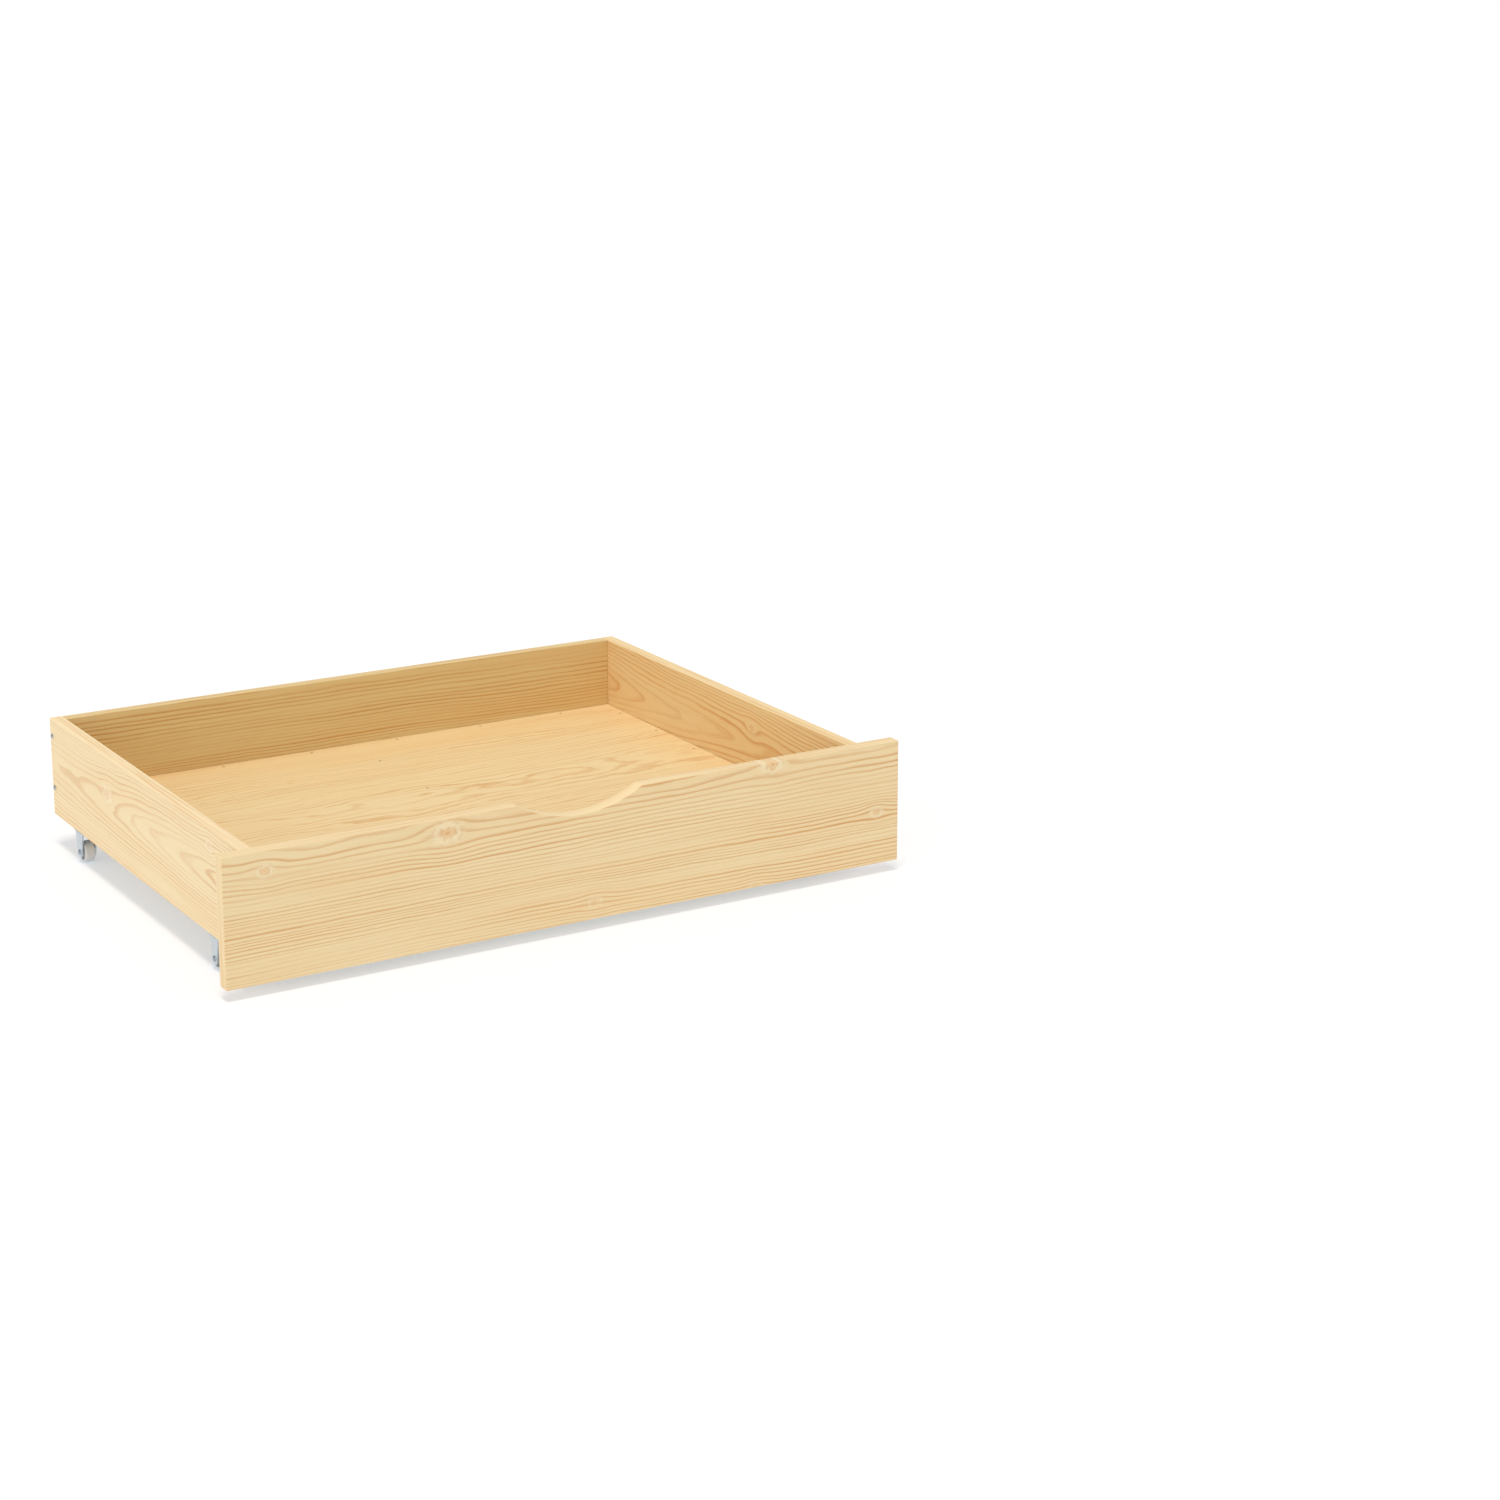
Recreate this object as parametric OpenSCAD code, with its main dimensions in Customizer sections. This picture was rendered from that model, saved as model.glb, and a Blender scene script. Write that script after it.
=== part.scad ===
// Under-bed storage box on four fixed castors.
// Two sides, a back and a thin bottom panel make a shallow open box of pine boards. The front board
// is wider and reaches lower than the box, so that it hides the wheels, and has a shallow finger
// scoop in its top edge to pull the box out by.
// Frame: the origin is on the floor, under the middle of the whole box. +X runs to the right along
// the front board, +Y from the front to the back, and +Z up. All sizes are in millimetres.

/* [Front board] */
// Width of the front board
front_w = 980; // [850:5:1200]
// Height of the front board
front_h = 170; // [145:1:172]
// Thickness of the front board
front_t = 20; // [18:0.5:26]
// How far the front board stands out past the left side
overhang_left = 30; // [15:1:70]
// How far the front board stands out past the right side
overhang_right = 55; // [15:1:70]

/* [Finger scoop] */
// Width of the scoop, measured between its unrounded shoulders
scoop_w = 180; // [120:2:240]
// Depth of the scoop at its middle
scoop_depth = 25; // [18:1:30]
// Radius of the rounded shoulders
shoulder_r = 12; // [6:1:18]

/* [Sides and back] */
// Length of the sides, behind the front board
side_len = 690; // [600:5:760]
// Height of the sides and the back
side_h = 140; // [132:1:160]
// Thickness of the sides and the back
board_t = 18; // [18:0.5:22]
// How far the back is set in from the ends of the sides
back_inset = 1; // [0:0.5:3]

/* [Bottom] */
// Depth of the storage space, from the top edge to the bottom panel
storage_depth = 101.5; // [90:0.5:102]
// Thickness of the bottom panel
panel_t = 5; // [4:0.5:6]
// Thickness of the ledges under the edges of the bottom panel
ledge_t = 20; // [18:1:24]
// Width of the flat rail under the middle of the bottom panel
rail_w = 45; // [40:1:70]
// Thickness of that rail
rail_t = 18; // [16:0.5:20]

/* [Castors] */
// Height from the floor to the bottom edge of the sides
castor_h = 45; // [44:0.5:52]
// Diameter of the wheels
wheel_d = 30; // [28:1:32]
// Width of the tread
wheel_w = 14; // [12:0.5:15]
// Width of the fork, outside
fork_w = 21; // [20.5:0.5:22]
// Distance from the ends of the sides to the middle of each castor
castor_inset = 96.5; // [60:0.5:150]

/* [Hidden] */
$fn = 64;

// Signs that pick a corner of the box
LEFT = -1;
RIGHT = 1;
FRONT = -1;
BACK = 1;
SIDES = [LEFT, RIGHT];
ENDS = [FRONT, BACK];

// Main planes of the box
top_z = castor_h + side_h;
front_y = -(front_t + side_len) / 2;
side_y0 = front_y + front_t;
side_y1 = side_y0 + side_len;
back_y0 = side_y1 - back_inset - board_t;
left_x = -front_w / 2 + overhang_left;
right_x = front_w / 2 - overhang_right;
inner_x0 = left_x + board_t;
inner_x1 = right_x - board_t;
inner_w = inner_x1 - inner_x0;
inner_len = back_y0 - side_y0;
mid_x = (inner_x0 + inner_x1) / 2;
panel_z = top_z - storage_depth - panel_t;
panel_gap = 0.5;
ledge_h = panel_z - castor_h;

// Holes are this much larger in radius than what is fixed in them
FIT = 0.05;
// A tool that opens a face reaches this far past it
PAST = 1;

// How deep the scoop's arc and its shoulders' circles overlap
shoulder_overlap = 0.05;

// Dowels and cam fittings between the front board and the ends of the sides
dowel_r = 4;
dowel_len = 34;
dowel_in_front = 14;
dowel_drops = [56, 118];
cam_drops = [28, 84];
cam_from_end = 34;
cam_r = 7.4;
cam_depth = 13;
cam_slot_depth = 2.5;
cam_bolt_r = 2.5;
cam_bolt_in_front = 12;
cam_head_r = 3.5;
cam_head_len = 3;
cam_head_gap = 0.3;
cam_tunnel_r = 3.75;

// Cross recess, as shares of what it is cut into: its arm of the radius, its depth of the height
recess_arm = 0.55;
recess_depth = 0.6;

// Screws: [shank radius, length under the head, head radius, head height]
corner_screw = [1.8, 45, 3.7, 2.4];
ledge_screw = [1.75, 30, 3.5, 2.6];
rail_screw = [1.75, 28, 3.5, 2.6];
castor_screw = [1.75, 14, 3.2, 2];
corner_screw_drops = [24.5, 99.5];
corner_screw_from_end = 9;
ledge_screws_long = 4;
ledge_screws_short = 4;

// Panel nails
nail_r = 0.9;
nail_len = 17;
nail_head_r = 2;
nail_head_t = 0.7;
nails_per_ledge = 6;
nails_on_rail = 4;

// Castors
axle_r = 2.5;
wheel_clearance = 0.05;
hub_w = 16.4;
hub_r = 4.6;
rim_r = 11.6;
web_w = 6;
tread_round = 1.6;
sheet_t = 2;
bend_r = 2.6;
plate_len = 44;
plate_corner_r = 2;
plate_hole_r = 2;
plate_screw_y = 18;
flange_top = 28;
flange_tip_r = 8;
fork_inset = 1.2;
axle_head_r = 4;
axle_head_h = 2.2;
axle_rivet_r = 3.6;
axle_rivet_h = 1.2;
axle_drop = castor_h - wheel_d / 2;

function along(count, low, high) = [for (i = [0:count - 1]) low + (i + 0.5) * (high - low) / count];

ledge_screw_ys = along(ledge_screws_long, side_y0, back_y0);
ledge_screw_xs = along(ledge_screws_short, inner_x0 + ledge_t, inner_x1 - ledge_t);
nail_ys = along(nails_per_ledge, side_y0, back_y0);
nail_xs = along(nails_per_ledge, inner_x0 + ledge_t, inner_x1 - ledge_t);
rail_nail_ys = along(nails_on_rail, side_y0 + ledge_t, back_y0 - ledge_t);

// ---- Placing ----

// Turns a shape that is drawn along +Z so that it runs along +X, -X, +Y or -Y
module along_x() { rotate([0, 90, 0]) children(); }
module along_minus_x() { rotate([0, -90, 0]) children(); }
module along_y() { rotate([-90, 0, 0]) children(); }
module along_minus_y() { rotate([90, 0, 0]) children(); }

// The frame of one side: x = 0 on its outer face and +x towards the inside of the box
module on_side(side) {
    translate([side == LEFT ? left_x : right_x, 0, 0])
        mirror([side == RIGHT ? 1 : 0, 0, 0])
            children();
}

// The frame of one castor: the middle of its plate's top face
module on_castor(side, end) {
    on_side(side)
        translate([fork_inset + fork_w / 2, end == FRONT ? side_y0 + castor_inset : side_y1 - castor_inset,
                   castor_h])
            children();
}

// The frame of the front and back ledges: y = 0 on the board and +y towards the inside of the box
module on_end(end) {
    translate([0, end == FRONT ? side_y0 : back_y0, 0])
        mirror([0, end == BACK ? 1 : 0, 0])
            children();
}

// ---- Fasteners, drawn along +Z from under the head, with the head below z = 0 ----

module cross_recess(radius, depth) {
    for (turn = [0, 90])
        rotate([0, 0, turn])
            translate([-radius, -radius / 4, 0])
                cube([2 * radius, radius / 2, depth]);
}

module shank(radius, length) {
    tip = 2 * radius;
    cylinder(r = radius, h = length - tip);
    translate([0, 0, length - tip]) cylinder(r1 = radius, r2 = radius / 4, h = tip);
}

// A domed head that stands on the surface
module pan_screw(size) {
    dome_r = (size[2] * size[2] + size[3] * size[3]) / (2 * size[3]) + size[3] / 2;
    shank(size[0], size[1]);
    difference() {
        intersection() {
            translate([0, 0, -size[3]]) cylinder(r = size[2], h = size[3]);
            translate([0, 0, dome_r - size[3]]) sphere(r = dome_r);
        }
        translate([0, 0, -size[3] - PAST]) cross_recess(size[2] * recess_arm, size[3] * recess_depth + PAST);
    }
}

// A flat head that is sunk into the wood; z = 0 is the bottom of its cone
module flat_screw(size) {
    shank(size[0], size[1]);
    difference() {
        translate([0, 0, -size[3]]) cylinder(r1 = size[2], r2 = size[0], h = size[3]);
        translate([0, 0, -size[3] - PAST]) cross_recess(size[2] * recess_arm, size[3] * recess_depth + PAST);
    }
}

// The hole for a flat head in a piece of the given thickness, drawn from the surface at z = 0
module sunk_hole(size, thickness) {
    translate([0, 0, -PAST]) cylinder(r = size[0] + FIT, h = thickness + 2 * PAST);
    cylinder(r1 = size[2] + FIT, r2 = size[0] + FIT, h = size[3]);
    translate([0, 0, -PAST]) cylinder(r = size[2] + FIT, h = PAST + 0.001);
}

// ---- Where the fasteners go ----

module at_cams(side) {
    on_side(side) for (drop = cam_drops) translate([board_t / 2, side_y0, top_z - drop]) children();
}

module at_dowels(side) {
    on_side(side) for (drop = dowel_drops) translate([board_t / 2, side_y0, top_z - drop]) children();
}

module at_corner_screws(side) {
    on_side(side)
        for (drop = corner_screw_drops)
            translate([0, side_y1 - corner_screw_from_end, top_z - drop]) along_x() children();
}

module at_side_ledge_screws(side) {
    on_side(side)
        for (y = ledge_screw_ys)
            translate([board_t + ledge_t, y, castor_h + ledge_h / 2]) along_minus_x() children();
}

module at_end_ledge_screws(end) {
    on_end(end)
        for (x = ledge_screw_xs) translate([x, ledge_t, castor_h + ledge_h / 2]) along_minus_y() children();
}

module at_rail_screws() {
    for (end = ENDS)
        on_end(end) translate([mid_x, ledge_t / 2, panel_z]) rotate([180, 0, 0]) children();
}

module at_nails() {
    for (side = SIDES, y = nail_ys) on_side(side) translate([board_t + ledge_t / 2, y, 0]) children();
    for (end = ENDS, x = nail_xs) on_end(end) translate([x, ledge_t / 2, 0]) children();
    for (y = rail_nail_ys) translate([mid_x, y, 0]) children();
}

module at_castor_screws(side, end) {
    on_castor(side, end) for (y = [-plate_screw_y, plate_screw_y]) translate([0, y, 0]) children();
}

// ---- Holes that more than one board needs ----

module ledge_screw_pilot() {
    cylinder(r = ledge_screw[0] + FIT, h = ledge_screw[1] + ledge_screw[3] + FIT);
}

module nail_pilots() {
    at_nails() translate([0, 0, panel_z + panel_t - nail_len - FIT]) cylinder(r = nail_r + FIT, h = nail_len);
}

// ---- Boards ----

// The outline of the scoop, with z = 0 on the top edge: a wide arc that runs into rounded shoulders.
// Each shoulder's circle overlaps the arc by shoulder_overlap, so that the two cross cleanly.
module scoop_outline() {
    arc_r = (scoop_w * scoop_w / 4 + scoop_depth * scoop_depth) / (2 * scoop_depth);
    arc_z = arc_r - scoop_depth;
    apart = arc_r + shoulder_r - shoulder_overlap;
    shoulder_x = sqrt(pow(apart, 2) - pow(arc_z + shoulder_r, 2));
    towards_arc = [-shoulder_x, arc_z + shoulder_r] / apart;
    corner = [shoulder_x, -shoulder_r] + towards_arc * (shoulder_r + shoulder_r / 4);
    intersection() {
        translate([0, arc_z]) circle(r = arc_r);
        translate([-shoulder_x, -scoop_depth - PAST]) square([2 * shoulder_x, scoop_depth + 2 * PAST]);
    }
    for (s = [0, 1])
        mirror([s, 0])
            difference() {
                polygon([[corner[0], PAST], corner, [shoulder_x, -shoulder_r], [shoulder_x, PAST]]);
                translate([shoulder_x, -shoulder_r]) circle(r = shoulder_r);
            }
}

module front_panel() {
    color("burlywood")
        difference() {
            translate([-front_w / 2, front_y, top_z - front_h]) cube([front_w, front_t, front_h]);
            translate([0, front_y + front_t + PAST, top_z])
                rotate([90, 0, 0]) linear_extrude(front_t + 2 * PAST) scoop_outline();
            for (side = SIDES) {
                at_dowels(side) along_minus_y() cylinder(r = dowel_r + FIT, h = dowel_in_front + FIT);
                at_cams(side) along_minus_y() cylinder(r = cam_bolt_r + FIT, h = cam_bolt_in_front + FIT);
            }
            at_end_ledge_screws(FRONT) ledge_screw_pilot();
        }
}

module side_board(side) {
    color("burlywood")
        difference() {
            on_side(side) translate([0, side_y0, castor_h]) cube([board_t, side_len, side_h]);
            at_dowels(side) along_y() cylinder(r = dowel_r + FIT, h = dowel_len - dowel_in_front + FIT);
            at_cams(side) along_y() cylinder(r = cam_tunnel_r, h = cam_from_end);
            at_cams(side)
                translate([board_t / 2 - cam_depth, cam_from_end, 0])
                    along_x() cylinder(r = cam_r + FIT, h = cam_depth + PAST);
            at_corner_screws(side)
                translate([0, 0, -PAST]) cylinder(r = corner_screw[0] + FIT, h = board_t + 2 * PAST);
            at_side_ledge_screws(side) ledge_screw_pilot();
            for (end = ENDS)
                at_castor_screws(side, end) cylinder(r = castor_screw[0] + FIT, h = castor_screw[1]);
        }
}

module left_side() { side_board(LEFT); }
module right_side() { side_board(RIGHT); }

module back_panel() {
    color("tan")
        difference() {
            translate([inner_x0, back_y0, castor_h]) cube([inner_w, board_t, side_h]);
            for (side = SIDES)
                at_corner_screws(side) cylinder(r = corner_screw[0] + FIT, h = corner_screw[1] + FIT);
            at_end_ledge_screws(BACK) ledge_screw_pilot();
        }
}

module bottom_panel() {
    color("wheat")
        difference() {
            translate([inner_x0 + panel_gap, side_y0 + panel_gap, panel_z])
                cube([inner_w - 2 * panel_gap, inner_len - 2 * panel_gap, panel_t]);
            nail_pilots();
            at_nails()
                translate([0, 0, panel_z + panel_t - nail_head_t])
                    cylinder(r = nail_head_r + FIT, h = PAST + nail_head_t);
        }
}

// ---- Ledges and rail under the bottom panel ----

module side_ledge(side) {
    color("wheat")
        difference() {
            on_side(side) translate([board_t, side_y0, castor_h]) cube([ledge_t, inner_len, ledge_h]);
            at_side_ledge_screws(side) sunk_hole(ledge_screw, ledge_t);
            nail_pilots();
            for (end = ENDS)
                at_castor_screws(side, end) cylinder(r = castor_screw[0] + FIT, h = castor_screw[1]);
        }
}

module left_ledge() { side_ledge(LEFT); }
module right_ledge() { side_ledge(RIGHT); }

module end_ledge(end) {
    color("wheat")
        difference() {
            on_end(end)
                translate([inner_x0 + ledge_t, 0, castor_h]) cube([inner_w - 2 * ledge_t, ledge_t, ledge_h]);
            translate([mid_x - rail_w / 2, side_y0 - PAST, panel_z - rail_t])
                cube([rail_w, inner_len + 2 * PAST, rail_t + PAST]);
            at_end_ledge_screws(end) sunk_hole(ledge_screw, ledge_t);
            at_rail_screws() cylinder(r = rail_screw[0] + FIT, h = rail_screw[1] + rail_screw[3] + FIT);
            nail_pilots();
        }
}

module front_ledge() { end_ledge(FRONT); }
module back_ledge() { end_ledge(BACK); }

module middle_rail() {
    color("wheat")
        difference() {
            translate([mid_x - rail_w / 2, side_y0, panel_z - rail_t]) cube([rail_w, inner_len, rail_t]);
            at_rail_screws() sunk_hole(rail_screw, rail_t);
            nail_pilots();
        }
}

// ---- Fastener groups ----

module front_dowels() {
    color("peru")
        for (side = SIDES)
            at_dowels(side) translate([0, -dowel_in_front, 0]) along_y() cylinder(r = dowel_r, h = dowel_len);
}

module cam_bolts() {
    color("silver")
        for (side = SIDES)
            at_cams(side) {
                translate([0, -cam_bolt_in_front, 0])
                    along_y() cylinder(r = cam_bolt_r, h = cam_bolt_in_front + cam_from_end - cam_head_len);
                translate([0, cam_from_end - cam_head_len, 0])
                    along_y() cylinder(r = cam_head_r, h = cam_head_len);
            }
}

// A disc with a screwdriver slot, and a pocket that takes the head of the cam bolt from the front
module cam_nuts() {
    pocket_r = cam_head_r + cam_head_gap;
    color("lightgrey")
        for (side = SIDES)
            at_cams(side)
                translate([board_t / 2 - cam_depth, cam_from_end, 0])
                    difference() {
                        along_x() cylinder(r = cam_r, h = cam_depth);
                        translate([cam_depth - board_t / 2, pocket_r, 0])
                            along_minus_y() cylinder(r = pocket_r, h = cam_r + pocket_r + PAST);
                        translate([cam_depth - cam_slot_depth, 0, 0])
                            along_x() cross_recess(cam_r * recess_arm, cam_slot_depth + PAST);
                    }
}

module corner_screws() {
    color("silver") for (side = SIDES) at_corner_screws(side) pan_screw(corner_screw);
}

module ledge_screws() {
    color("silver") {
        for (side = SIDES)
            at_side_ledge_screws(side) translate([0, 0, ledge_screw[3]]) flat_screw(ledge_screw);
        for (end = ENDS)
            at_end_ledge_screws(end) translate([0, 0, ledge_screw[3]]) flat_screw(ledge_screw);
    }
}

module rail_screws() {
    color("silver") at_rail_screws() translate([0, 0, rail_screw[3]]) flat_screw(rail_screw);
}

module panel_nails() {
    color("silver")
        at_nails() {
            translate([0, 0, panel_z + panel_t - nail_len]) cylinder(r = nail_r, h = nail_len - nail_head_t);
            translate([0, 0, panel_z + panel_t - nail_head_t]) cylinder(r = nail_head_r, h = nail_head_t);
        }
}

module castor_screws() {
    color("silver")
        for (side = SIDES, end = ENDS)
            at_castor_screws(side, end) translate([0, 0, -sheet_t]) pan_screw(castor_screw);
}

// ---- Castors ----

// A bar with rounded top corners, in the xz plane with its top at z = 0
module channel_outline(width, height, radius) {
    translate([-width / 2, -height]) square([width, height - radius]);
    translate([-width / 2 + radius, -height]) square([width - 2 * radius, height]);
    for (s = [-1, 1]) translate([s * (width / 2 - radius), -radius]) circle(r = radius);
}

// The end view of the fork: a sheet bent down on both sides
module bent_sheet(height) {
    difference() {
        channel_outline(fork_w, height, bend_r);
        translate([0, -sheet_t]) channel_outline(fork_w - 2 * sheet_t, height, bend_r - sheet_t);
    }
}

// The side view of the fork, in the yz plane: straight edges that run down onto a round tip
module flange_outline() {
    reach = sqrt(pow(flange_top / 2, 2) + pow(axle_drop, 2));
    angle = atan2(axle_drop, flange_top / 2) - acos(flange_tip_r / reach);
    tip_y = flange_tip_r * cos(angle);
    tip_z = flange_tip_r * sin(angle) - axle_drop;
    polygon([[-flange_top / 2, 0], [-tip_y, tip_z], [tip_y, tip_z], [flange_top / 2, 0]]);
    translate([0, -axle_drop]) circle(r = flange_tip_r);
}

// The plate with its rounded corners, waisted where the flanges bend down from it
module plate_outline() {
    w = fork_w / 2 - plate_corner_r;
    l = plate_len / 2 - plate_corner_r;
    difference() {
        union() {
            square([2 * w, plate_len], center = true);
            square([fork_w, 2 * l], center = true);
            for (x = [-w, w], y = [-l, l]) translate([x, y]) circle(r = plate_corner_r);
        }
        for (s = [-1, 1])
            translate([s * (fork_w - bend_r), 0]) square([fork_w, flange_top], center = true);
    }
}

module fork(side, end) {
    depth = axle_drop + flange_tip_r;
    color("lightsteelblue")
        on_castor(side, end)
            difference() {
                union() {
                    intersection() {
                        translate([0, flange_top / 2, 0])
                            rotate([90, 0, 0]) linear_extrude(flange_top) bent_sheet(depth + PAST);
                        translate([-fork_w / 2, 0, 0])
                            rotate([90, 0, 90]) linear_extrude(fork_w) flange_outline();
                    }
                    translate([0, 0, -sheet_t]) linear_extrude(sheet_t) plate_outline();
                }
                for (y = [-plate_screw_y, plate_screw_y])
                    translate([0, y, -sheet_t - PAST]) cylinder(r = plate_hole_r, h = sheet_t + 2 * PAST);
                translate([-fork_w / 2 - PAST, 0, -axle_drop])
                    along_x() cylinder(r = axle_r + FIT, h = fork_w + 2 * PAST);
            }
}

// A rivet: a domed head on the outer face of the fork and a flat one on the inner face
module axle(side, end) {
    dome_r = (axle_head_r * axle_head_r + axle_head_h * axle_head_h) / (2 * axle_head_h);
    color("silver")
        on_castor(side, end)
            translate([-fork_w / 2, 0, -axle_drop])
                along_x() {
                    cylinder(r = axle_r, h = fork_w);
                    intersection() {
                        translate([0, 0, -axle_head_h]) cylinder(r = axle_head_r, h = axle_head_h);
                        translate([0, 0, dome_r - axle_head_h]) sphere(r = dome_r);
                    }
                    translate([0, 0, fork_w]) cylinder(r = axle_rivet_r, h = axle_rivet_h);
                }
}

// Half of the wheel's section: radius along x, width along y
module wheel_section() {
    bore_r = axle_r + wheel_clearance;
    wheel_r = wheel_d / 2;
    translate([bore_r, -hub_w / 2]) square([hub_r - bore_r, hub_w]);
    translate([bore_r, -web_w / 2]) square([rim_r - bore_r + PAST, web_w]);
    translate([rim_r, -wheel_w / 2]) square([wheel_r - tread_round - rim_r, wheel_w]);
    translate([rim_r, -wheel_w / 2 + tread_round]) square([wheel_r - rim_r, wheel_w - 2 * tread_round]);
    for (s = [-1, 1])
        translate([wheel_r - tread_round, s * (wheel_w / 2 - tread_round)]) circle(r = tread_round);
}

module wheel(side, end) {
    color("gainsboro")
        on_castor(side, end)
            translate([0, 0, -axle_drop]) along_x() rotate_extrude() wheel_section();
}

module fork_front_left() { fork(LEFT, FRONT); }
module fork_front_right() { fork(RIGHT, FRONT); }
module fork_back_left() { fork(LEFT, BACK); }
module fork_back_right() { fork(RIGHT, BACK); }
module axle_front_left() { axle(LEFT, FRONT); }
module axle_front_right() { axle(RIGHT, FRONT); }
module axle_back_left() { axle(LEFT, BACK); }
module axle_back_right() { axle(RIGHT, BACK); }
module wheel_front_left() { wheel(LEFT, FRONT); }
module wheel_front_right() { wheel(RIGHT, FRONT); }
module wheel_back_left() { wheel(LEFT, BACK); }
module wheel_back_right() { wheel(RIGHT, BACK); }

front_panel();
left_side();
right_side();
back_panel();
bottom_panel();
left_ledge();
right_ledge();
front_ledge();
back_ledge();
middle_rail();
front_dowels();
cam_bolts();
cam_nuts();
corner_screws();
ledge_screws();
rail_screws();
panel_nails();
castor_screws();
fork_front_left();
fork_front_right();
fork_back_left();
fork_back_right();
axle_front_left();
axle_front_right();
axle_back_left();
axle_back_right();
wheel_front_left();
wheel_front_right();
wheel_back_left();
wheel_back_right();
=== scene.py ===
"""The looks of an under-bed storage box on castors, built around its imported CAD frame."""

import math

import bmesh
import bpy
from mathutils import Matrix, Vector


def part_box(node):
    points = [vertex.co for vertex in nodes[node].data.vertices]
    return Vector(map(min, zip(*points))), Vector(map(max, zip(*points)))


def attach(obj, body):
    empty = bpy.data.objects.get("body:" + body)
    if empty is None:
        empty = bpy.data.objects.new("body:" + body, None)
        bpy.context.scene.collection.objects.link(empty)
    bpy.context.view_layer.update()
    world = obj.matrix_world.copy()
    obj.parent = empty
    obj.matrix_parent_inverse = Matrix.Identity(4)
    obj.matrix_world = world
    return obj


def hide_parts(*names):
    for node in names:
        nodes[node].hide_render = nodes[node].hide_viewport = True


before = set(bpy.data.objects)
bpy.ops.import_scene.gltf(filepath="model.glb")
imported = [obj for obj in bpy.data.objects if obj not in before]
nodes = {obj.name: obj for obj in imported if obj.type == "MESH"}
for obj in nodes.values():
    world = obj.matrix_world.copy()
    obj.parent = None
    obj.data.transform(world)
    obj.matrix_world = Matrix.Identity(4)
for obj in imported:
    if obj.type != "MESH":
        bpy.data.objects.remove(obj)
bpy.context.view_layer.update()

MM = 0.001
X, Y, Z = 0, 1, 2


# ---- Materials, written as formulas ----

def srgb(red, green, blue):
    """A colour given as it looks on a screen, from 0 to 255, in Blender's linear values."""
    def linear(value):
        value /= 255
        return value / 12.92 if value <= 0.04045 else ((value + 0.055) / 1.055) ** 2.4
    return (linear(red), linear(green), linear(blue), 1)


class Field:
    """A number that varies over a surface: one output of a node, with arithmetic."""

    def __init__(self, graph, socket):
        self.graph = graph
        self.socket = socket

    def __add__(self, other):
        return self.graph.math("ADD", self, other)

    def __sub__(self, other):
        return self.graph.math("SUBTRACT", self, other)

    def __mul__(self, other):
        return self.graph.math("MULTIPLY", self, other)

    def __truediv__(self, other):
        return self.graph.math("DIVIDE", self, other)

    def __rsub__(self, other):
        return self.graph.math("SUBTRACT", other, self)

    __radd__ = __add__
    __rmul__ = __mul__


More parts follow.
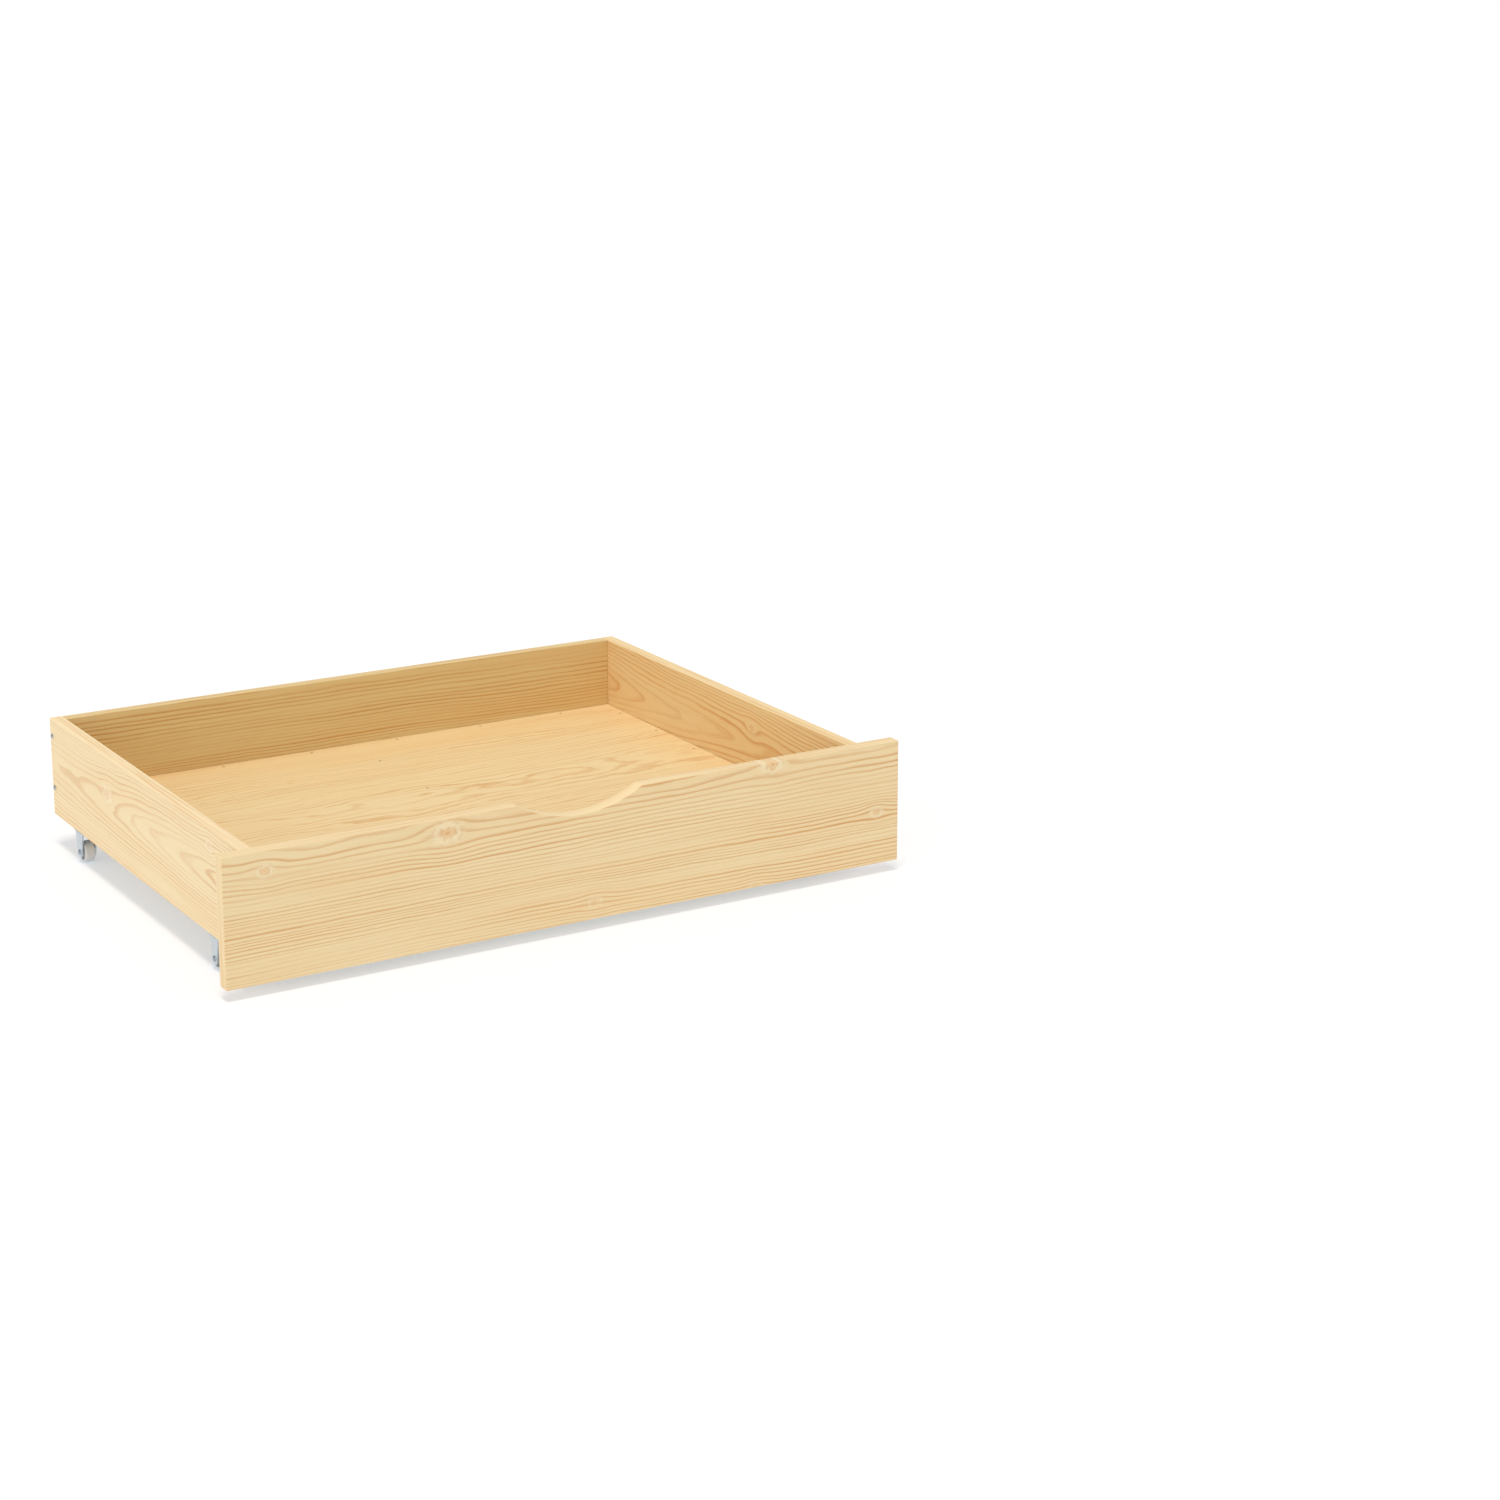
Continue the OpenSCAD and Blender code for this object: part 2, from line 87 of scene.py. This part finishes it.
class Graph:
    """A material whose colour, roughness and bump are made of Fields."""

    def __init__(self, name):
        self.material = bpy.data.materials.new(name)
        self.material.use_nodes = True
        self.tree = self.material.node_tree
        self.shader = self.tree.nodes["Principled BSDF"]
        where = self.tree.nodes.new("ShaderNodeTexCoord")
        self.place = self.split(where.outputs["Object"], 1 / MM)
        self.facing = self.split(where.outputs["Normal"], 1)

    def plug(self, socket, value):
        if isinstance(value, Field):
            self.tree.links.new(value.socket, socket)
        elif isinstance(value, bpy.types.NodeSocket):
            self.tree.links.new(value, socket)
        else:
            socket.default_value = value

    def split(self, vector, scale):
        parts = self.tree.nodes.new("ShaderNodeSeparateXYZ")
        self.tree.links.new(vector, parts.inputs[0])
        return [Field(self, out) * scale if scale != 1 else Field(self, out) for out in parts.outputs]

    def math(self, operation, *values):
        node = self.tree.nodes.new("ShaderNodeMath")
        node.operation = operation
        for socket, value in zip(node.inputs, values):
            self.plug(socket, value)
        return Field(self, node.outputs[0])

    def vector(self, x, y, z):
        node = self.tree.nodes.new("ShaderNodeCombineXYZ")
        for socket, value in zip(node.inputs, (x, y, z)):
            self.plug(socket, value)
        return node.outputs[0]

    def noise(self, x, y, z, detail=2.0, roughness=0.5):
        """Smooth noise from about -0.5 to 0.5, one blob per unit."""
        node = self.tree.nodes.new("ShaderNodeTexNoise")
        self.plug(node.inputs["Vector"], self.vector(x, y, z))
        node.inputs["Scale"].default_value = 1
        node.inputs["Detail"].default_value = detail
        node.inputs["Roughness"].default_value = roughness
        return Field(self, node.outputs[0]) - 0.5

    def step(self, value, low, high):
        """Rises smoothly from 0 at low to 1 at high."""
        node = self.tree.nodes.new("ShaderNodeMapRange")
        node.interpolation_type = "SMOOTHSTEP"
        self.plug(node.inputs["Value"], value)
        self.plug(node.inputs["From Min"], low)
        self.plug(node.inputs["From Max"], high)
        return Field(self, node.outputs[0])

    def mix(self, share, first, second):
        """A colour between two colours."""
        node = self.tree.nodes.new("ShaderNodeMix")
        node.data_type = "RGBA"
        self.plug(node.inputs[0], share)
        self.plug(node.inputs[6], first)
        self.plug(node.inputs[7], second)
        return node.outputs[2]

    def finish(self, colour, roughness, height, depth, metallic=0.0, specular=0.5):
        """Sets the shader. The bump is height times depth, in metres."""
        self.plug(self.shader.inputs["Base Color"], colour)
        self.plug(self.shader.inputs["Roughness"], roughness)
        self.shader.inputs["Metallic"].default_value = metallic
        self.shader.inputs["Specular IOR Level"].default_value = specular
        bump = self.tree.nodes.new("ShaderNodeBump")
        bump.inputs["Strength"].default_value = 1
        bump.inputs["Distance"].default_value = depth
        self.plug(bump.inputs["Height"], height)
        self.tree.links.new(bump.outputs[0], self.shader.inputs["Normal"])
        return self.material


def knot_marks(g, length, height, knots, seed):
    """What knots do to a board: how far they pull the rings in and swell them, then how strongly their pale
    halo, their orange heart and their dark wood show. A knot is (place along the grain, height, radius,
    strength), in mm."""
    pull = swell = halo = heart = wood = 0.0
    for k_length, k_height, radius, strength in knots:
        along = length - k_length
        up = height - k_height
        fall = along * along * (0.20 / radius ** 2) + up * up * (0.45 / radius ** 2)
        near = g.math("EXPONENT", fall * -1)
        pull = up * near * 0.7 * strength + pull
        swell = near * (radius * 0.20 * strength) + swell
        ragged = g.noise(length / (0.45 * radius) + seed, height / (0.45 * radius), 1.5, 3)
        gap = g.math("SQRT", along * along * 0.5 + up * up) / radius + ragged * 0.65
        ring = g.step(gap, 0.16, 0.36) * (1 - g.step(gap, 0.38, 0.62))
        cloud = g.noise(length / (0.4 * radius), height / (0.4 * radius) + seed, 4.5, 2)
        broken = g.step(cloud, -0.18, 0.14)
        core = 1 - g.step(gap, 0.02, 0.20)
        rim = g.step(gap, 0.66, 0.82) * (1 - g.step(gap, 0.82, 1.0))
        dark = ring * broken * 0.42 + core * 0.5 + rim * broken * 0.26
        halo = g.math("MAXIMUM", (1 - g.step(gap, 0.55, 1.15)) * strength, halo)
        heart = g.math("MAXIMUM", (1 - g.step(gap, 0.20, 0.62)) * strength, heart)
        wood = g.math("MAXIMUM", dark * strength, wood)
    return pull, swell, halo, heart, wood


def pine(name, grain, thick, pith, spacing, seed, tilt=0.0, knots=(), tone=(0, 0, 0), waves=1.0,
         contrast=1.0, glowing=0.55):
    """A pine board. grain and thick are the axes along the grain and through the board. pith is the middle
    of the tree's rings, (height, depth) in mm, and spacing is the width of a ring there. tilt is the slope
    of the pith to the board, tone is added to every colour, waves and contrast scale the rings' bends and
    the lines, and glowing is how orange the knots' hearts are."""
    g = Graph(name)
    length, height, depth = g.place[grain], g.place[3 - grain - thick], g.place[thick]
    pull, swell, halo, heart, wood = knot_marks(g, length, height, knots, seed)

    # The tree's rings: the distance from the pith, with bends of three sizes.
    across = height - pith[0] - pull
    inward = depth - pith[1] + length * tilt
    drift = g.noise(length / 430 + seed, height / 150, depth / 150, 1) * (34 * waves)
    wave = g.noise(length / 120 + seed * 2, height / 34, depth / 34, 2) * (9 * waves)
    shake = g.noise(length / 40 + seed * 3, height / 6, depth / 6, 3) * (1.8 * waves)
    reach = g.math("SQRT", across * across + inward * inward) + drift + wave + shake + swell
    uneven = g.noise(reach / 30 + seed, 0.5, 0.5, 1) * 2.6 + g.noise(reach / 9, seed, 0.5, 1) * 0.9
    ring = reach / spacing + uneven

    # Their marks: the late wood at the end of each ring, thinner lines, and tinted groups of rings.
    phase = g.math("FRACT", ring)
    late = g.step(phase, 0.46, 0.86) * (1 - g.step(phase, 0.88, 1.0))
    soft = g.noise(length / 380 + seed * 6, height / 60, 2.5, 1) * 1.1 + 0.85
    group = g.step(g.noise(ring * 0.37 + seed, 3.5, length / 500, 2), -0.22, 0.20)
    strong = (group * 0.8 + 0.2) * soft
    glow = g.step(g.noise(ring * 0.21 + seed * 5, 7.5, length / 420, 2), -0.05, 0.28)
    phase = g.math("FRACT", ring * 1.9 + 0.3)
    shown = g.step(g.noise(length / 160, reach / 14, seed, 1), -0.12, 0.16)
    thin = g.step(phase, 0.5, 0.85) * (1 - g.step(phase, 0.85, 1.0)) * shown

    # Marks along the grain, and on the edges and ends, where the rings don't show as arches.
    fibre = g.noise(length / 30 + seed, height / 0.8, depth / 0.8, 3, 0.65)
    streak = g.noise(length / 420 + seed, height / 5, depth / 5, 3, 0.6)
    fleck = g.step(g.noise(length / 7 + seed, height / 0.4, depth / 0.4, 1), 0.16, 0.26)
    band = g.noise(length / 260 + seed, depth / 3.4, height / 260, 3) * 2.2 + 0.10
    patch = g.noise(length / 260 + seed * 4, height / 45, depth / 45, 2) + 0.5
    face = g.step(g.math("ABSOLUTE", g.facing[thick]), 0.3, 0.9)
    edge = 1 - face
    lines = (late * strong * 0.85 + thin * 0.12 + fibre * 0.55 + streak * 0.45) * contrast
    lines = g.math("MAXIMUM", lines * face + (band + fibre * 0.3 + late * 0.08) * edge, 0.0)

    def shade(*levels):
        return srgb(*[level + extra for level, extra in zip(levels, tone)])
    colour = g.mix(patch * face, shade(243, 222, 176), shade(240, 213, 163))
    for share, over in (
            (glow * face * 0.42, shade(241, 203, 146)), (edge * 0.6, shade(247, 218, 167)),
            (lines, shade(216, 163, 102)), (halo * 0.7, shade(246, 228, 188)),
            (heart * glowing, shade(236, 188, 126)), (wood * 0.85, shade(208, 148, 88)),
            (fleck * face * 0.2, shade(208, 148, 88))):
        colour = g.mix(share, colour, over)
    rough = 0.47 + late * 0.05 + fibre * 0.10
    relief = late * strong * 0.2 + fibre * 0.9 - fleck * 0.3
    return g.finish(colour, rough, relief, 0.03 * MM, specular=0.35)


def metal(name, shade, rough, grain=1.6, depth=0.015):
    """Plated metal with a fine cloudy finish."""
    g = Graph(name)
    x, y, z = g.place
    cloud = g.noise(x / grain, y / grain, z / grain, 3)
    fine = g.noise(x / 0.25, y / 0.25, z / 0.25, 2)
    dark = srgb(*[v * 0.86 for v in shade])
    colour = g.mix(cloud + 0.5, dark, srgb(*shade))
    return g.finish(colour, rough + cloud * 0.16 + fine * 0.05, cloud * 0.6 + fine * 0.4, depth * MM,
                    metallic=1.0)


def plastic(name, shade, rough):
    """Moulded plastic with faint flow marks."""
    g = Graph(name)
    x, y, z = g.place
    flow = g.noise(x / 5, y / 9, z / 9, 3)
    fine = g.noise(x / 0.3, y / 0.3, z / 0.3, 2)
    dark = srgb(*[v * 0.95 for v in shade])
    colour = g.mix(flow + 0.5, dark, srgb(*shade))
    return g.finish(colour, rough + flow * 0.12 + fine * 0.05, flow * 0.5 + fine * 0.5, 0.02 * MM)


# ---- Shapes ----

# The hole that each kind of fitting sits in, in mm: its radius, then the radius and the depth at the
# head. A negative depth is a step, and a positive one a cone.
HOLES = {
    "front_dowels": (4.05, 4.05, 0), "cam_bolts": (3.75, 3.75, 0), "cam_nuts": (7.45, 7.45, 0),
    "corner_screws": (1.85, 1.85, 0), "castor_screws": (1.8, 1.8, 0),
    "ledge_screws": (1.8, 3.55, 2.6), "rail_screws": (1.8, 3.55, 2.6), "panel_nails": (0.95, 2.05, -0.7)}
HOLE_SIDES = 40
HOLE_START, HOLE_END = 0.5 * MM, 0.05 * MM  # how far a hole runs past the two ends of its fitting


def solids(node):
    """The points of each separate solid of a CAD node."""
    bm = bmesh.new()
    bm.from_mesh(nodes[node].data)
    bmesh.ops.remove_doubles(bm, verts=bm.verts, dist=0.001 * MM)
    found = []
    for vert in bm.verts:
        vert.tag = False
    for vert in bm.verts:
        if vert.tag:
            continue
        vert.tag = True
        group = [vert]
        for member in group:
            for edge in member.link_edges:
                other = edge.other_vert(member)
                if not other.tag:
                    other.tag = True
                    group.append(other)
        found.append([v.co.copy() for v in group])
    bm.free()
    return found


def turned(bm, profile, start, axis, sign):
    """Adds a round solid. The profile is (distance from start along the axis, radius), in metres."""
    one, two = [i for i in (X, Y, Z) if i != axis]
    rings = []
    for distance, radius in profile:
        ring = []
        for i in range(HOLE_SIDES):
            turn = math.tau * i / HOLE_SIDES
            point = start.copy()
            point[axis] += sign * distance
            point[one] += radius * math.cos(turn)
            point[two] += radius * math.sin(turn)
            ring.append(bm.verts.new(point))
        rings.append(ring)
    for low, high in zip(rings, rings[1:]):
        for i in range(HOLE_SIDES):
            j = (i + 1) % HOLE_SIDES
            bm.faces.new((low[i], low[j], high[j], high[i]))
    bm.faces.new(rings[0])
    bm.faces.new(rings[-1])


def end_radius(points, axis, end, middle):
    """How far a fitting reaches from its middle line at one of its ends."""
    def flat(point):
        return point[:axis] + point[axis + 1:]
    near = [p for p in points if abs(p[axis] - end) < 0.05 * MM]
    return max(math.dist(flat(p), flat(middle)) for p in near)


def hole_cutters(low, high):
    """A shape for every fitting that reaches into the box from low to high."""
    bm = bmesh.new()
    for node, (radius, head_radius, head_depth) in HOLES.items():
        for points in solids(node):
            first = Vector([min(p[i] for p in points) for i in range(3)])
            last = Vector([max(p[i] for p in points) for i in range(3)])
            if any(last[i] <= low[i] or first[i] >= high[i] for i in range(3)):
                continue
            size = last - first
            axis = X if node == "cam_nuts" else max(range(3), key=lambda i: size[i])
            middle = (first + last) / 2
            first_is_head = (end_radius(points, axis, first[axis], middle)
                             >= end_radius(points, axis, last[axis], middle))
            start = middle.copy()
            start[axis] = first[axis] if first_is_head else last[axis]
            profile = [(-HOLE_START, head_radius * MM)]
            if head_depth > 0:
                profile += [(0, head_radius * MM), (head_depth * MM, radius * MM)]
            elif head_depth < 0:
                profile += [(-head_depth * MM, head_radius * MM), (-head_depth * MM, radius * MM)]
            profile.append((size[axis] + HOLE_END, radius * MM))
            turned(bm, profile, start, axis, 1 if first_is_head else -1)
    bmesh.ops.recalc_face_normals(bm, faces=bm.faces)
    return bm


def new_object(bm, name):
    mesh = bpy.data.meshes.new(name)
    bm.to_mesh(mesh)
    bm.free()
    made = bpy.data.objects.new(name, mesh)
    bpy.context.scene.collection.objects.link(made)
    return made


def board(bm, name, node, material, radius):
    """Turns a closed shape into a board: edges eased, holes cut, and standing for a CAD node."""
    bmesh.ops.recalc_face_normals(bm, faces=bm.faces)
    sharp = [e for e in bm.edges if e.calc_face_angle(0) > math.radians(30)]
    bmesh.ops.bevel(bm, geom=sharp, offset=radius, segments=3, profile=0.5, affect="EDGES")
    piece = new_object(bm, name)
    cutters = new_object(hole_cutters(*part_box(node)), name + "_cutters")
    cut = piece.modifiers.new("holes", "BOOLEAN")
    cut.operation = "DIFFERENCE"
    cut.solver = "EXACT"
    cut.use_self = True
    cut.object = cutters
    bpy.context.view_layer.update()
    whole = piece.evaluated_get(bpy.context.evaluated_depsgraph_get())
    mesh = bpy.data.meshes.new_from_object(whole)
    piece.modifiers.clear()
    piece.data = mesh
    bpy.data.objects.remove(cutters)
    mesh.name = name
    mesh.materials.clear()
    mesh.materials.append(material)
    mesh.shade_smooth()
    mesh.set_sharp_from_angle(angle=math.radians(35))
    piece.modifiers.new("normals", "WEIGHTED_NORMAL").keep_sharp = True
    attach(piece, "box")
    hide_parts(node)
    return piece


def block(node):
    """A box as large as a CAD node."""
    low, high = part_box(node)
    bm = bmesh.new()
    bmesh.ops.create_cube(bm, size=1)
    size = high - low
    bmesh.ops.transform(bm, verts=bm.verts,
                        matrix=Matrix.Translation((low + high) / 2) @ Matrix.Diagonal((*size, 1)))
    return bm


# ---- The boards ----

SCOOP_W, SCOOP_DEPTH, SHOULDER_R = 180 * MM, 25 * MM, 12 * MM
ARC_STEPS, SHOULDER_STEPS = 24, 10


def front_outline(low, high):
    """The front board's outline as (x, z), with the finger scoop in its top edge."""
    arc_r = (SCOOP_W ** 2 / 4 + SCOOP_DEPTH ** 2) / (2 * SCOOP_DEPTH)
    arc_z = high.z - SCOOP_DEPTH + arc_r
    shoulder_z = high.z - SHOULDER_R
    shoulder_x = math.sqrt((arc_r + SHOULDER_R) ** 2 - (arc_z - shoulder_z) ** 2)
    middle = (low.x + high.x) / 2
    lean = math.atan2(shoulder_x, arc_z - shoulder_z)
    half = []
    for i in range(ARC_STEPS + 1):
        turn = lean * i / ARC_STEPS
        half.append((arc_r * math.sin(turn), arc_z - arc_r * math.cos(turn)))
    for i in range(1, SHOULDER_STEPS + 1):
        turn = lean * (1 - i / SHOULDER_STEPS)
        half.append((shoulder_x - SHOULDER_R * math.sin(turn), shoulder_z + SHOULDER_R * math.cos(turn)))
    scoop = [(middle - x, z) for x, z in reversed(half[1:])] + [(middle + x, z) for x, z in half]
    return [(low.x, low.z), (low.x, high.z), *scoop, (high.x, high.z), (high.x, low.z)]


def front_shape():
    low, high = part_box("front_panel")
    bm = bmesh.new()
    corners = [bm.verts.new((x, low.y, z)) for x, z in front_outline(low, high)]
    grown = bmesh.ops.extrude_face_region(bm, geom=[bm.faces.new(corners)])
    moved = [v for v in grown["geom"] if isinstance(v, bmesh.types.BMVert)]
    bmesh.ops.translate(bm, verts=moved, vec=(0, high.y - low.y, 0))
    return bm


front_pine = pine(
    "front_pine", X, Y, (198, -293), 4.4, 3.7, waves=0.5, contrast=1.1,
    knots=[(-435, 158.5, 11, 0.8), (-189, 166, 18, 1.0), (288, 182, 16, 1.0), (455, 89, 10, 0.8),
           (19, 38, 11, 0.55), (263, 16, 11, 0.45)])
left_pine = pine(
    "left_pine", Y, X, (122, -428), 4.6, 11.3, tilt=-0.05, waves=0.7, tone=(5, 6, 8), contrast=0.85,
    knots=[(129, 132, 16, 0.9), (-238, 163, 10, 0.9)], glowing=0.2)
right_pine = pine(
    "right_pine", Y, X, (120, 375), 5.2, 23.1, tilt=-0.05, tone=(0, -4, -9), waves=0.8, contrast=1.1,
    knots=[(-91, 149, 11, 0.9)])
# The back board's tone makes it darker than the other boards. This is painted shade, standing for the shade
# that falls on its inner face inside the box.
back_pine_painted_shade = pine(
    "back_pine_painted_shade", X, Y, (215, 395), 4.8, 31.9, waves=0.5, tone=(-13, -15, -24), contrast=1.15)
bottom_wood = pine("bottom_wood", X, Z, (40, -60), 5.2, 41.7, waves=1.6, tone=(-2, -5, -10))
batten_wood = pine("batten_wood", X, Z, (140, 20), 3.0, 53.3, waves=0.5, tone=(0, 2, 4))
batten_wood_y = pine("batten_wood_y", Y, Z, (140, 20), 3.0, 61.9, waves=0.5, tone=(0, 2, 4))

board(front_shape(), "front_board", "front_panel", front_pine, 1.1 * MM)
for name, node, wood, slot, radius in (
        ("left_board", "left_side", left_pine, "pine", 0.8),
        ("right_board", "right_side", right_pine, "pine", 0.8),
        ("back_board", "back_panel", back_pine_painted_shade, "pine", 0.8),
        ("bottom_board", "bottom_panel", bottom_wood, "plywood", 0.3),
        ("left_batten", "left_ledge", batten_wood_y, "spruce_batten", 0.6),
        ("right_batten", "right_ledge", batten_wood_y, "spruce_batten", 0.6),
        ("front_batten", "front_ledge", batten_wood, "spruce_batten", 0.6),
        ("back_batten", "back_ledge", batten_wood, "spruce_batten", 0.6),
        ("middle_batten", "middle_rail", batten_wood_y, "spruce_batten", 0.6)):
    board(block(node), name, node, wood, radius * MM)

# ---- The fittings, which keep their CAD shapes ----

zinc_sheet = metal("zinc_sheet", (206, 218, 226), 0.30)
axle_steel = metal("axle_steel", (160, 172, 184), 0.30, grain=0.9, depth=0.006)
zinc_screw = metal("zinc_screw", (200, 204, 208), 0.28, grain=0.9, depth=0.008)
zinc_cast = metal("zinc_cast", (176, 177, 178), 0.42, grain=0.8, depth=0.03)
wheel_plastic = plastic("wheel_plastic", (218, 217, 215), 0.42)
beech = pine("beech", Y, Z, (100, 20), 2.0, 71.3, waves=0.4, tone=(-18, -30, -40))


# What a node's name holds, and its material.
FINISHES = {
    "fork_": zinc_sheet, "wheel_": wheel_plastic, "axle_": axle_steel, "_screws": zinc_screw,
    "_nails": zinc_screw, "cam_bolts": zinc_screw, "cam_nuts": zinc_cast, "dowels": beech}
for name, node in nodes.items():
    for part, material in FINISHES.items():
        if part in name:
            node.data.materials.clear()
            node.data.materials.append(material)

# ---- Floor, light and camera ----


def pale_floor():
    """A white floor, clear from below. It gives off part of its light, so that shadows on it stay pale
    and grey beside the warm wood."""
    g = Graph("pale_floor")
    g.plug(g.shader.inputs["Base Color"], (0.692, 0.608, 0.529, 1))
    g.shader.inputs["Roughness"].default_value = 1
    g.shader.inputs["Specular IOR Level"].default_value = 0
    g.plug(g.shader.inputs["Emission Color"], (0.30, 0.388, 0.472, 1))
    g.shader.inputs["Emission Strength"].default_value = 1
    below = g.tree.nodes.new("ShaderNodeNewGeometry").outputs["Backfacing"]
    clear = g.tree.nodes.new("ShaderNodeBsdfTransparent")
    one_sided = g.tree.nodes.new("ShaderNodeMixShader")
    g.tree.links.new(below, one_sided.inputs[0])
    g.tree.links.new(g.shader.outputs[0], one_sided.inputs[1])
    g.tree.links.new(clear.outputs[0], one_sided.inputs[2])
    g.tree.links.new(one_sided.outputs[0], g.tree.nodes["Material Output"].inputs[0])
    bm = bmesh.new()
    bmesh.ops.create_grid(bm, x_segments=1, y_segments=1, size=80)
    mesh = bpy.data.meshes.new("floor")
    bm.to_mesh(mesh)
    bm.free()
    floor = bpy.data.objects.new("floor", mesh)
    mesh.materials.append(g.material)
    bpy.context.scene.collection.objects.link(floor)


def studio_light():
    world = bpy.data.worlds.new("studio")
    bpy.context.scene.world = world
    world.use_nodes = True
    background = world.node_tree.nodes["Background"]
    background.inputs["Color"].default_value = (1, 1, 1, 1)
    background.inputs["Strength"].default_value = 0.58
    # The key light falls from above, and the fill light comes in low from the front left.
    for name, energy, spread, way in (
            ("key", 1.4, 14, (0.08, 0.12, -1)), ("fill", 0.7, 40, (0.85, 0.45, -0.15))):
        light = bpy.data.lights.new(name, "SUN")
        light.energy = energy
        light.angle = math.radians(spread)
        lamp = bpy.data.objects.new(name, light)
        lamp.rotation_mode = "QUATERNION"
        lamp.rotation_quaternion = Vector(way).to_track_quat("-Z", "Y")
        bpy.context.scene.collection.objects.link(lamp)
    bpy.context.scene.view_settings.view_transform = "Standard"


def camera():
    data = bpy.data.cameras.new("camera")
    data.sensor_width = 36
    data.lens = 74.3
    data.shift_y = -0.10
    data.clip_end = 300
    eye = bpy.data.objects.new("camera", data)
    heading, pitch = math.radians(31.25), math.radians(13.55)
    forward = Vector((math.sin(heading) * math.cos(pitch), math.cos(heading) * math.cos(pitch),
                      -math.sin(pitch)))
    eye.location = (-1.784, -3.7126, 1.3576)
    eye.rotation_mode = "QUATERNION"
    eye.rotation_quaternion = forward.to_track_quat("-Z", "Y")
    bpy.context.scene.collection.objects.link(eye)
    bpy.context.scene.camera = eye


pale_floor()
studio_light()
camera()
